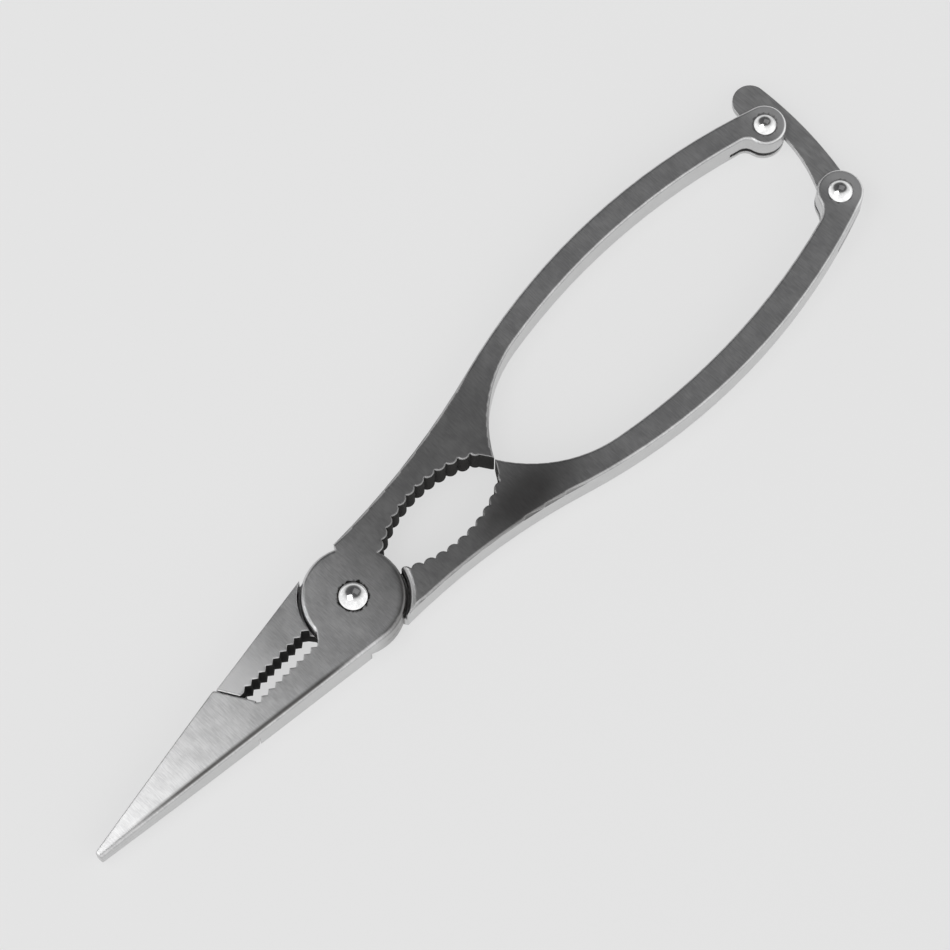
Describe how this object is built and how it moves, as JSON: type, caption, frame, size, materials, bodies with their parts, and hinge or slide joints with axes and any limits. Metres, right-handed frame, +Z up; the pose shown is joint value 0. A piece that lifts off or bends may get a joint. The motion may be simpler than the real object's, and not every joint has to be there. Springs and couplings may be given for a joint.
{
  "type": "poultry shears",
  "caption": "Closed all-steel poultry shears with riveted round boss, nutcracker jaw, serrated bone grip, looped slim handles and a swinging hook latch.",
  "frame": {"origin": "On the pivot axis, in the flat underside that the closed tool lies on.", "axes": "X runs along the tool, blade tips towards -X and handles towards +X. Y is across the tool, with the upper half's handle at +Y. Z is up through the thickness, towards the domed rivet heads."},
  "size_m": [0.2622, 0.0557, 0.0117],
  "materials": {
    "brushed_steel": "stainless steel, fine brushing across the handles",
    "latch_steel": "stainless sheet, fine matt brushing",
    "polished_steel": "polished domed heads"
  },
  "bodies": {
    "lower": {"lower_half": "brushed_steel", "pivot_rivet": "polished_steel", "latch_rivet": "polished_steel"},
    "upper": {"upper_half": "brushed_steel", "catch_pin": "polished_steel"},
    "latch": {"latch": "latch_steel"}
  },
  "joints": [
    {"name": "handle_open", "type": "hinge", "parent": "lower", "child": "upper", "pos_m": [0, 0, 0], "axis": [0, 0, 1], "range_deg": [0, 45]},
    {"name": "latch_swing", "type": "hinge", "parent": "lower", "child": "latch", "pos_m": [0.1637, -0.0132, 0], "axis": [0, 0, -1], "range_deg": [0, 110]}
  ]
}
